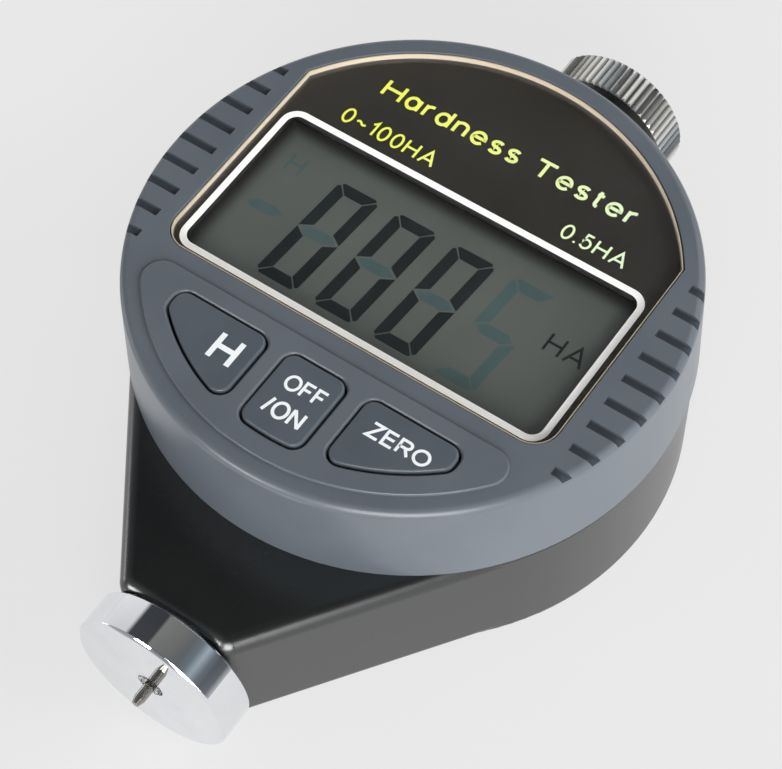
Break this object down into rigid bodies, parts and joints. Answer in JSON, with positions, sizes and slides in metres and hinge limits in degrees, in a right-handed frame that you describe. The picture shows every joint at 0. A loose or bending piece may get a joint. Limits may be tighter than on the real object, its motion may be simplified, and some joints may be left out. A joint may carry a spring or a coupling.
{
  "type": "durometer",
  "caption": "Hand-held digital durometer: a round display head with keys on a pear-shaped body, with a flat presser foot and sprung indenter at the nose and a knurled knob opposite.",
  "frame": {"origin": "on the axis of the round head, at the back face of the rear cover", "axes": "+X to the right of the display, +Y from the presser foot towards the knob, +Z out of the display"},
  "size_m": [0.0608, 0.0919, 0.0291],
  "materials": {
    "body_paint": "semi-gloss black stoved paint on cast zinc",
    "screw_steel": "zinc plated",
    "cap_plastic": "moulded, satin",
    "cell_steel": "rolled, bright",
    "black_plastic": "moulded",
    "contact_brass": "stamped",
    "foot_chrome": "polished and chrome plated",
    "bush_brass": "turned",
    "hard_steel": "hardened and ground",
    "spring_steel": "drawn wire",
    "bracket_aluminium": "milled",
    "board_laminate": "solder mask",
    "strip_rubber": "cut",
    "display_glass": "polished, with a grey reflector behind",
    "frame_plastic": "moulded",
    "mat_rubber": "moulded",
    "key_plastic": "moulded, fine texture",
    "head_plastic": "moulded, fine texture",
    "lens_acrylic": "clear, back printed",
    "washer_plastic": "punched",
    "knob_plating": "straight knurled and nickel plated"
  },
  "bodies": {
    "case": {"body": "body_paint", "rear_cover": "body_paint", "rear_cover_screws": "screw_steel", "battery": "cell_steel", "battery_holder": "black_plastic", "battery_contact": "contact_brass", "presser_foot": "foot_chrome", "foot_bush": "bush_brass", "guide_bush": "bush_brass", "upper_bush": "bush_brass", "main_spring": "spring_steel", "spring_adjuster": "bush_brass", "guide_rod": "hard_steel", "sensor_board": "board_laminate", "sensor_board_screws": "screw_steel", "main_board": "board_laminate", "main_board_screws": "screw_steel", "contact_strips": "strip_rubber", "lcd_glass": "display_glass", "lcd_frame": "frame_plastic", "key_mat": "mat_rubber", "head_shell": "head_plastic", "head_screws": "screw_steel", "lens": "lens_acrylic"},
    "plunger_set": {"indenter": "hard_steel", "plunger": "hard_steel", "spring_collar": "bush_brass", "plunger_bracket": "bracket_aluminium", "sensor_slider": "board_laminate", "stop_clip": "spring_steel"},
    "hold_key": {"hold_key": "key_plastic"},
    "power_key": {"power_key": "key_plastic"},
    "zero_key": {"zero_key": "key_plastic"},
    "battery_cap": {"battery_cap": "cap_plastic"},
    "knob_washer": {"knob_washer": "washer_plastic"},
    "knob": {"knob": "knob_plating"}
  },
  "joints": [
    {"name": "indenter_slide", "type": "slide", "parent": "case", "child": "plunger_set", "axis": [0, 1, 0], "range_m": [0, 0.0025], "stiffness_N_per_m": 3000, "springref_m": -0.00018, "deforming": ["main_spring"]},
    {"name": "hold_key_press", "type": "slide", "parent": "case", "child": "hold_key", "axis": [0, 0, -1], "range_m": [0, 0.0008], "stiffness_N_per_m": 1500, "springref_m": -0.0002, "deforming": ["key_mat"]},
    {"name": "power_key_press", "type": "slide", "parent": "case", "child": "power_key", "axis": [0, 0, -1], "range_m": [0, 0.0008], "stiffness_N_per_m": 1500, "springref_m": -0.0002, "deforming": ["key_mat"]},
    {"name": "zero_key_press", "type": "slide", "parent": "case", "child": "zero_key", "axis": [0, 0, -1], "range_m": [0, 0.0008], "stiffness_N_per_m": 1500, "springref_m": -0.0002, "deforming": ["key_mat"]},
    {"name": "battery_cap_turn", "type": "hinge", "parent": "case", "child": "battery_cap", "pos_m": [-0.01325, 0, 0.001], "axis": [0, 0, 1], "range_deg": [0, 90]},
    {"name": "knob_lift", "type": "slide", "parent": "case", "child": "knob_washer", "axis": [0, 1, 0], "range_m": [0, 0.00605]},
    {"name": "knob_turn", "type": "hinge", "parent": "knob_washer", "child": "knob", "pos_m": [0, 0.0381, 0.0097], "axis": [0, 1, 0], "range_deg": [0, 2160]}
  ],
  "couplings": [
    {"joint": "knob_lift", "follows": "knob_turn", "m_per_rad": 0.00015915}
  ]
}
